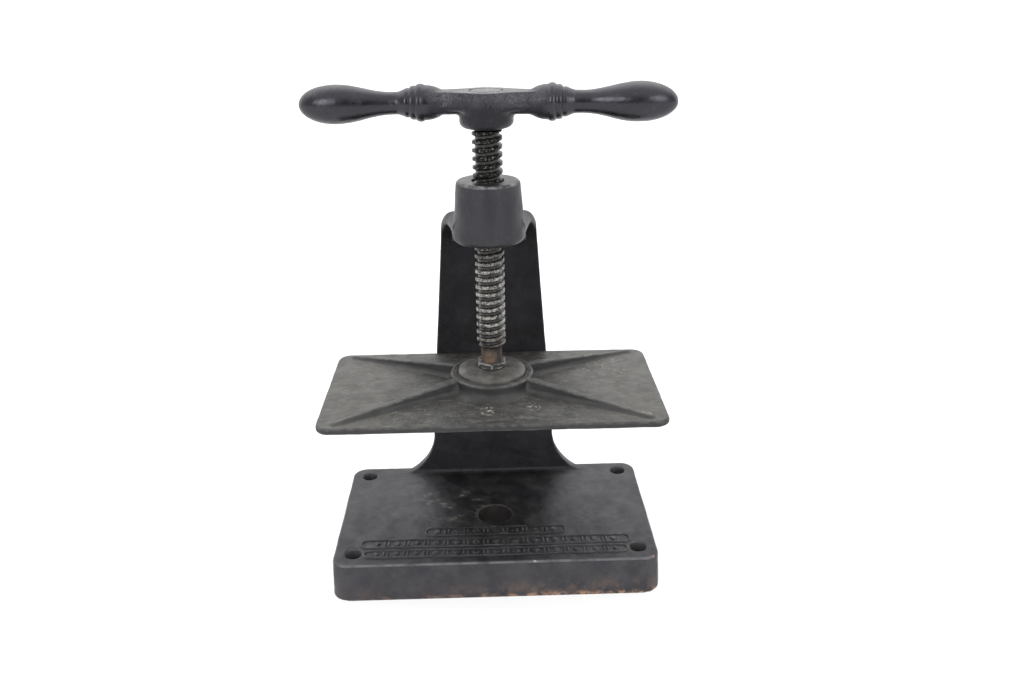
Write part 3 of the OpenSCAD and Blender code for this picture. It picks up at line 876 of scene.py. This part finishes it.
def base_wear_and_painted_light(s, colour, edge, low_down):
    """Dust on the base's top, and on its front a film partly of painted light, a painted highlight on
    the lip, pale worn edges, chips and rust.
    """
    top = s.times(s.step(s.nz, 0.7, 0.95), low_down)
    dust = s.times(top, s.step(s.noise(17, 5, 0.62), 0.40, 0.74))
    colour = s.mix(s.times(dust, 0.35), colour, (0.07, 0.067, 0.063))
    front = s.times(s.step(s.y, -64, -68.5), low_down)
    # Lighter patches over the front face only: partly a dusty film, partly painted light on this side.
    film = s.step(s.noise(13, 5, 0.6), 0.3, 0.75, 0.25, 1.0)
    colour = s.mix(s.times(front, film, 0.8), colour, (0.036, 0.035, 0.036))
    worn = s.times(s.step(edge, 0.35, 1.0), s.step(s.noise(7, 4, 0.6), 0.42, 0.66))
    colour = s.mix(s.times(worn, s.step(low_down, 0, 1, 0.12, 0.30)), colour, BARE_EDGE)
    # A pale, patchy line along the front's top edge: a painted highlight. The chips share this band.
    lip = s.times(s.step(edge, 0.3, 0.7), front, s.step(s.z, 26, 28.5))
    rubbed = s.step(s.noise(9, 4, 0.6), 0.3, 0.6, 0.2, 0.65)
    colour = s.mix(s.times(lip, rubbed), colour, (0.13, 0.128, 0.13))
    chips = s.times(lip, s.step(s.noise(6.5, 3, 0.6, s.stretched(0.7, 1, 1)), 0.635, 0.665))
    chip_colour = s.mix(s.step(s.noise(30, 1, 0.5), 0.45, 0.55), PALE_CHIP, ORANGE_RUST)
    colour = s.mix(s.times(chips, 0.75), colour, chip_colour)
    side = s.step(s.x, -70, 70, 0.25, 1.0)
    rust = s.times(s.step(s.z, 20, 1), front, side, s.step(s.noise(12, 5, 0.7), 0.42, 0.64))
    colour = s.mix(s.times(rust, 0.75), colour, (0.115, 0.074, 0.052))
    foot = s.times(s.step(s.z, 4.5, 0.5), front, s.step(s.noise(8, 4, 0.65), 0.47, 0.60))
    return s.mix(s.times(foot, side, 0.85), colour, (0.36, 0.21, 0.12)), rust


def base_holes(s, colour):
    """The smear beside the centre hole, the inside of the centre hole, and painted light inside the
    bolt holes.
    """
    patchy = s.step(s.noise(17, 3, 0.5), 0.44, 0.58)
    flecks = s.step(s.noise(5, 6, 0.8, s.stretched(0.6, 1, 1)), 0.49, 0.64)
    smear = s.times(s.near(-38, 18, BASE_H, 46), flecks, patchy, 0.6)
    colour = s.mix(smear, colour, (0.21, 0.19, 0.155))
    inside = s.step(s.length(s.x, s.y), CENTRE_R + 0.6, CENTRE_R - 0.1)
    inside = s.times(inside, s.step(s.z, BASE_H + 1, BASE_H - 0.6))
    uneven = s.step(s.noise(4, 4, 0.6), 0.3, 0.6, 0.4, 1.0)
    colour = s.mix(s.times(inside, uneven), colour, (0.024, 0.020, 0.0175))
    bolt_x = s.plus(s.math("ABSOLUTE", s.x), -BOLT_X)
    bolt_y = s.plus(s.math("ABSOLUTE", s.plus(s.y, -BOLT_MID_Y)), -BOLT_Y)
    # Lighter inside the bolt holes, most in their upper part: painted light.
    bolt_wall_light = s.step(s.length(bolt_x, bolt_y), BOLT_R + 0.9, BOLT_R + 0.1)
    return s.mix(s.times(bolt_wall_light, s.step(s.z, 4, 22), 0.5), colour, (0.11, 0.107, 0.107))


def cast_black_iron():
    """The frame: old black paint and oil over cast iron, worn at its edges, with rust low down;
    painted highlights on some edges, painted light in the bolt holes, and painted shade on the column
    and round the centre hole.
    """
    s = Shader("cast_black_iron")
    edge = s.mask("edge")
    clouds = s.step(s.noise(26, 4, 0.6), 0.35, 0.68)
    colour = s.mix(clouds, (0.007, 0.007, 0.0075), (0.013, 0.0128, 0.0132))
    speckle = s.step(s.noise(3.2, 4, 0.65), 0.52, 0.72)
    colour = s.mix(s.times(speckle, 0.35), colour, (0.028, 0.027, 0.026))
    colour, rust = base_wear_and_painted_light(s, colour, edge, s.step(s.z, 60, 34))
    colour = base_holes(s, colour)
    # A pale, patchy line on the front of the boss's top edge: partly wear, partly a painted highlight.
    boss_rim_wear_and_highlight = s.times(s.step(edge, 0.3, 0.7), s.step(s.z, BOSS_TOP - 5, BOSS_TOP - 2))
    in_front = s.times(s.step(s.y, -4, -16), s.step(s.noise(8, 4, 0.6), 0.42, 0.6))
    colour = s.mix(s.times(boss_rim_wear_and_highlight, in_front, 0.75), colour, (0.22, 0.215, 0.21))
    rough = s.step(s.noise(18, 4, 0.6), 0.3, 0.7, 0.40, 0.58)
    rough = s.math("MAXIMUM", rough, s.times(rust, 0.8))
    boss_top = s.times(s.step(s.nz, 0.6, 0.9), s.step(s.z, BOSS_TOP - 15, BOSS_TOP - 5))
    rough = s.times(rough, s.step(boss_top, 0, 1, 1.0, 0.72))
    # Less reflection on the column's face and on the base's top round the centre hole, beneath the
    # platen: painted shade.
    shaded = s.times(s.step(s.z, 120, 235), s.step(s.y, 30, 60))
    oily = s.near(6, -8, BASE_H, 62)
    shine = s.times(s.step(shaded, 0, 1, 0.48, 0.20), s.step(oily, 0, 1, 1.0, 0.66))
    return s.finish(colour, rough, sand_skin(s, 0.30, 0.08), specular=shine, sheen=COLD_SHEEN)


def worn_platen_iron():
    """The platen: bare iron gone warm grey, mottled, with pale chips, dirt and painted shade in its
    corners, painted shade on its steep faces and painted light on its top's left and right.
    """
    s = Shader("worn_platen_iron")
    edge, hollow = s.mask("edge"), s.mask("hollow")
    mottle = s.step(s.noise(30, 5, 0.65), 0.36, 0.68)
    colour = s.mix(mottle, (0.012, 0.0117, 0.0112), (0.034, 0.0328, 0.0305))
    top = s.step(s.nz, 0.90, 0.985)
    streaks = s.step(s.noise(3.2, 5, 0.7, s.stretched(0.35, 1.0, 1.0)), 0.50, 0.68)
    colour = s.mix(s.times(streaks, top, 0.55), colour, (0.12, 0.115, 0.10))
    specks = s.step(s.noise(1.7, 4, 0.7), 0.50, 0.62)
    colour = s.mix(s.times(specks, top, 0.30), colour, (0.13, 0.125, 0.112))
    grime = s.step(s.noise(6, 5, 0.7), 0.55, 0.68)
    colour = s.mix(s.times(grime, top, 0.55), colour, (0.008, 0.008, 0.008))
    # Lighter on the top's left and right, away from the hub: painted light.
    away = s.step(s.math("ABSOLUTE", s.x), 45, 100)
    colour = s.mix(s.times(away, top, 0.35), colour, (0.105, 0.10, 0.088))
    # Darker on the steep faces of the plate's edge, the hub and the ribs: painted shade.
    side = s.step(s.nz, 0.80, 0.45)
    colour = s.mix(s.times(side, 0.75), colour, (0.012, 0.012, 0.013))
    # Darker in the hollows by the hub and ribs: partly dirt, partly painted shade.
    colour = s.mix(s.times(s.step(hollow, 0.22, 0.55), 0.6), colour, (0.012, 0.012, 0.012))
    worn = s.times(s.step(edge, 0.25, 0.9), s.step(s.noise(8, 4, 0.6), 0.36, 0.66))
    colour = s.mix(s.times(worn, 0.28), colour, (0.16, 0.155, 0.15))
    chips = s.step(s.noise(2.6, 3, 0.6), 0.700, 0.715)
    colour = s.mix(s.times(chips, top, 0.5), colour, (0.30, 0.29, 0.26))
    spots = s.plus(s.near(-3, -47, PLATEN_SPOT_Z, 9), s.near(30, -43, PLATEN_SPOT_Z, 7))
    spots = s.plus(spots, s.times(s.near(112, -58, PLATEN_SPOT_Z - 2, 8), 0.9))
    scattered = s.step(s.noise(11, 3, 0.5), 0.47, 0.6, 0, 0.7)
    spots = s.plus(spots, s.times(s.near(88, 30, PLATEN_SPOT_Z - 1, 30), scattered))
    flecks = s.step(s.noise(2.3, 5, 0.7, s.stretched(0.6, 1, 1)), 0.55, 0.60)
    colour = s.mix(s.times(flecks, s.times(spots, top), 0.85), colour, (0.50, 0.48, 0.43))
    rough = s.step(s.noise(12, 4, 0.6), 0.3, 0.7, 0.44, 0.62)
    return s.finish(colour, rough, sand_skin(s, 0.26, 0.09))


def cap_iron():
    """The cap in the hub: turned iron, rubbed smoother than the platen."""
    s = Shader("cap_iron")
    clouds = s.step(s.noise(11, 5, 0.65), 0.35, 0.66)
    colour = s.mix(clouds, (0.034, 0.033, 0.030), (0.078, 0.074, 0.066))
    hexagon = s.step(s.z, CAP_HIGH[2] - 4.4, CAP_HIGH[2] - 3.8)
    colour = s.mix(hexagon, colour, (0.020, 0.0195, 0.020))
    worn = s.times(s.step(s.mask("edge"), 0.3, 1.0), s.step(s.noise(4, 4, 0.6), 0.36, 0.6), hexagon)
    colour = s.mix(s.times(worn, 0.75), colour, (0.30, 0.29, 0.28))
    rough = s.step(s.noise(5, 4, 0.6), 0.3, 0.7, 0.42, 0.60)
    skin = s.bump(s.noise(0.8, 4, 0.6), 0.05, s.bump(s.noise(4, 3, 0.5), 0.15))
    return s.finish(colour, rough, skin)


def handle_iron():
    """The handle: black enamel rubbed semi-gloss by hands, pitted along the bar; the bar's top partly
    painted lighter, and its underside given less reflection as painted shade.
    """
    s = Shader("handle_iron")
    clouds = s.step(s.noise(20, 4, 0.6), 0.36, 0.66)
    colour = s.mix(clouds, (0.004, 0.004, 0.005), (0.008, 0.008, 0.010))
    bar = s.step(s.math("ABSOLUTE", s.x), BAR_HALF + 1, BAR_HALF - 9)
    scuffs = s.step(s.noise(5, 5, 0.7), 0.60, 0.68)
    colour = s.mix(s.times(scuffs, 0.35), colour, (0.055, 0.052, 0.050))
    # The bar's top lighter in patches: partly rubbed by hands, partly painted light.
    upper = s.times(bar, s.step(s.z, GRIP_Z + 0.5, GRIP_Z + 4.5))
    rubbed = s.times(upper, s.step(s.noise(1.4, 5, 0.7), 0.40, 0.64))
    colour = s.mix(s.times(rubbed, 0.42), colour, (0.10, 0.096, 0.098))
    rough = s.step(s.noise(9, 4, 0.6), 0.3, 0.7, 0.21, 0.34)
    rough = s.plus(rough, s.times(bar, 0.06))
    skin = s.bump(s.noise(7, 3, 0.5), 0.05)
    pits = s.plus(s.step(s.noise(1.5, 4, 0.65), 0.42, 0.58), s.times(s.noise(0.9, 3, 0.6), 0.4))
    skin = s.bump(s.times(pits, s.step(bar, 0, 1, 0.06, 1.0)), 0.09, skin)
    # Less reflection on the lower side of the bar and hub: painted shade.
    under = s.times(bar, s.step(s.z, GRIP_Z + 3, GRIP_Z - 5))
    shine = s.step(under, 0, 1, 0.52, 0.30)
    return s.finish(colour, rough, skin, specular=shine, sheen=COLD_SHEEN)


def screw_steel():
    """The screw: oily and dark above the boss, rubbed bright below it, and rusty on its neck."""
    s = Shader("screw_steel")
    hollow = s.mask("hollow")
    below = s.step(s.z, 268, 240)
    glints = s.step(s.noise(1.5, 4, 0.65), 0.52, 0.66)
    dark = s.mix(glints, (0.009, 0.009, 0.009), (0.17, 0.165, 0.16))
    grime = s.step(s.noise(2.2, 5, 0.75), 0.40, 0.60)
    bright = s.mix(grime, (0.05, 0.046, 0.042), (0.33, 0.32, 0.30))
    low_end = s.step(s.z, THREAD_LOW + 22, THREAD_LOW + 6)
    bright = s.mix(s.times(low_end, 0.6), bright, (0.07, 0.062, 0.055))
    crest = s.mix(below, dark, bright)
    colour = s.mix(s.step(hollow, 0.10, 0.65), crest, (0.008, 0.007, 0.006))
    neck = s.step(s.z, THREAD_LOW + 1, THREAD_LOW - 1)
    patch = s.near(-2.5, -NECK_R, 174, 9)
    patch = s.times(patch, s.step(s.noise(3, 4, 0.7), 0.3, 0.55))
    rusty = s.step(s.noise(2.6, 5, 0.7), 0.40, 0.62)
    rust = s.mix(rusty, (0.016, 0.014, 0.014), (0.050, 0.036, 0.028))
    rust = s.mix(s.times(patch, 0.6), rust, (0.15, 0.098, 0.058))
    colour = s.mix(neck, colour, rust)
    metal = s.times(s.step(hollow, 0.5, 0.1), s.step(neck, 0.5, 0, 0.2, 0.9))
    rough = s.step(s.noise(2.0, 4, 0.6), 0.3, 0.7, 0.18, 0.42)
    rough = s.plus(rough, s.times(neck, 0.22))
    return s.finish(colour, rough, s.bump(s.noise(1.3, 4, 0.65), 0.12), metal)


def turned_metal(name, low, high, rough, shine):
    """A plain turned or sawn part that is mostly hidden."""
    s = Shader(name)
    colour = s.mix(s.step(s.noise(5, 4, 0.6), 0.35, 0.65), low, high)
    rings = s.noise(1.2, 3, 0.6, s.stretched(0.3, 0.3, 2.5))
    level = s.step(rings, 0.3, 0.7, rough - 0.08, rough + 0.1)
    return s.finish(colour, level, s.bump(rings, 0.04), shine)


def pale_floor():
    """The floor: pale and a little bright of its own, so that the shadow on it stays faint."""
    s = Shader("pale_floor")
    colour = s.mix(s.noise(60, 3, 0.5), (0.40, 0.40, 0.405), (0.44, 0.44, 0.445))
    s.feed(s.bsdf.inputs["Emission Color"], (1.0, 1.0, 1.0, 1.0))
    s.feed(s.bsdf.inputs["Emission Strength"], 0.58)
    return s.finish(colour, 0.75, s.bump(s.noise(3, 2, 0.5), 0.02), specular=0.2)


def dress(obj, material):
    """Puts one material in every slot of an object."""
    slots = obj.data.materials
    if len(slots):
        for index in range(len(slots)):
            slots[index] = material
    else:
        slots.append(material)


BLACK_IRON = cast_black_iron()
dress(frame_casting, BLACK_IRON)
dress(base_ornament, BLACK_IRON)
dress(platen, worn_platen_iron())
dress(gland_cap, cap_iron())
dress(handle, handle_iron())
dress(press_screw, screw_steel())
BRONZE = turned_metal("sleeve_bronze", (0.30, 0.20, 0.09), (0.45, 0.31, 0.15), 0.38, 1.0)
DARK_STEEL = turned_metal("dark_steel", (0.035, 0.033, 0.032), (0.10, 0.095, 0.09), 0.42, 0.6)
BRIGHT_STEEL = turned_metal("bright_steel", (0.40, 0.39, 0.38), (0.58, 0.57, 0.55), 0.32, 1.0)
for node, material in (
    ("screw_nut", BRONZE),
    ("nut_set_screw", DARK_STEEL),
    ("thrust_washer", BRIGHT_STEEL),
    ("thrust_collar", BRIGHT_STEEL),
    ("collar_pin", DARK_STEEL),
    ("handle_pin", DARK_STEEL),
):
    dress(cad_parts[node], material)

# ---------------------------------------------------------------- bodies

for piece, body, slot, node in (
    (frame_casting, "frame", "black_iron", "frame_casting"),
    (base_ornament, "frame", "black_iron", None),
    (platen, "platen_group", "worn_iron", "platen"),
    (gland_cap, "platen_group", "worn_iron", "gland_cap"),
    (handle, "screw_group", "handle_iron", "handle"),
    (press_screw, "screw_group", "screw_steel", "press_screw"),
):
    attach(piece, body)
    if node:
        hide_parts(node)

# ---------------------------------------------------------------- floor, light and camera


def make_floor():
    """A pale, flat sheet, far wider than the view, in metres."""
    half_w, near, far = 14.0, -8.0, 30.0
    corners = [(-half_w, near, 0), (half_w, near, 0), (half_w, far, 0), (-half_w, far, 0)]
    mesh = bpy.data.meshes.new("floor_sheet")
    mesh.from_pydata(corners, [], [(0, 1, 2, 3)])
    return place("floor_sheet", mesh)


floor_sheet = make_floor()
dress(floor_sheet, pale_floor())


TOP_LIGHT = 1.3
FRONT_LIGHT = 0.095
BACK_LIGHT = 1.35
SIDE_LIGHT = 0.45
LAMP_LIGHT = 5.6
LAMP_FROM = (0.54, -0.76, 0.36)
LAMP_EDGE = (0.945, 0.988)


def studio_world():
    """Soft light from above and behind, a dimmer room in front, and a round soft lamp on each side of
    the camera. The camera itself sees plain white."""
    world = bpy.data.worlds.new("studio")
    world.use_nodes = True
    tree = world.node_tree
    background = tree.nodes["Background"]

    def add(kind, *inputs, output=0, **settings):
        node = tree.nodes.new(kind)
        for key, value in settings.items():
            setattr(node, key, value)
        for socket, value in zip(node.inputs, inputs):
            if isinstance(value, bpy.types.NodeSocket):
                tree.links.new(value, socket)
            else:
                socket.default_value = value
        return node.outputs[output]

    def level(value, start, end, low, high):
        return add("ShaderNodeMapRange", value, start, end, low, high, interpolation_type="SMOOTHSTEP")

    def total(a, b):
        return add("ShaderNodeMath", a, b, operation="ADD")

    direction = add("ShaderNodeTexCoord", output="Generated")
    split = tree.nodes.new("ShaderNodeSeparateXYZ")
    tree.links.new(direction, split.inputs[0])
    x, y, z = split.outputs
    aside = add("ShaderNodeMath", x, operation="ABSOLUTE")
    overhead = level(z, 0.35, 0.85, 0.0, TOP_LIGHT)
    behind = level(y, -0.25, 0.45, FRONT_LIGHT, BACK_LIGHT)
    sideways = level(aside, 0.45, 0.9, 0.0, SIDE_LIGHT)
    mirrored = add("ShaderNodeCombineXYZ", aside, y, z)
    toward = add("ShaderNodeVectorMath", mirrored, LAMP_FROM, output="Value", operation="DOT_PRODUCT")
    lamps = level(toward, *LAMP_EDGE, 0.0, LAMP_LIGHT)
    light = total(total(total(behind, sideways), overhead), lamps)
    seen = add("ShaderNodeLightPath", output="Is Camera Ray")
    unseen = add("ShaderNodeMath", 1.0, seen, operation="SUBTRACT")
    strength = add("ShaderNodeMath", light, unseen, seen, operation="MULTIPLY_ADD")
    background.inputs["Color"].default_value = (1.0, 1.0, 1.0, 1.0)
    tree.links.new(strength, background.inputs["Strength"])
    bpy.context.scene.world = world


studio_world()
bpy.context.scene.view_settings.view_transform = "Standard"

# Metres, radians and millimetres of lens.
CAMERA_AT = (-0.00087, -0.6733, 0.45417)
CAMERA_YAW = 0.02548
CAMERA_DOWN = 0.38049
CAMERA_ROLL = -0.01273
CAMERA_LENS = 32.97


def make_camera():
    """In front of the press and above it, looking down at it."""
    data = bpy.data.cameras.new("camera")
    data.sensor_width = 36.0
    data.lens = CAMERA_LENS
    obj = place("camera", data)
    turn = Matrix.Rotation(-CAMERA_YAW, 3, "Z")
    tilt = Matrix.Rotation(math.pi / 2 - CAMERA_DOWN, 3, "X")
    spin = Matrix.Rotation(CAMERA_ROLL, 3, "Z")
    obj.matrix_world = Matrix.Translation(CAMERA_AT) @ (turn @ tilt @ spin).to_4x4()
    bpy.context.scene.camera = obj


make_camera()
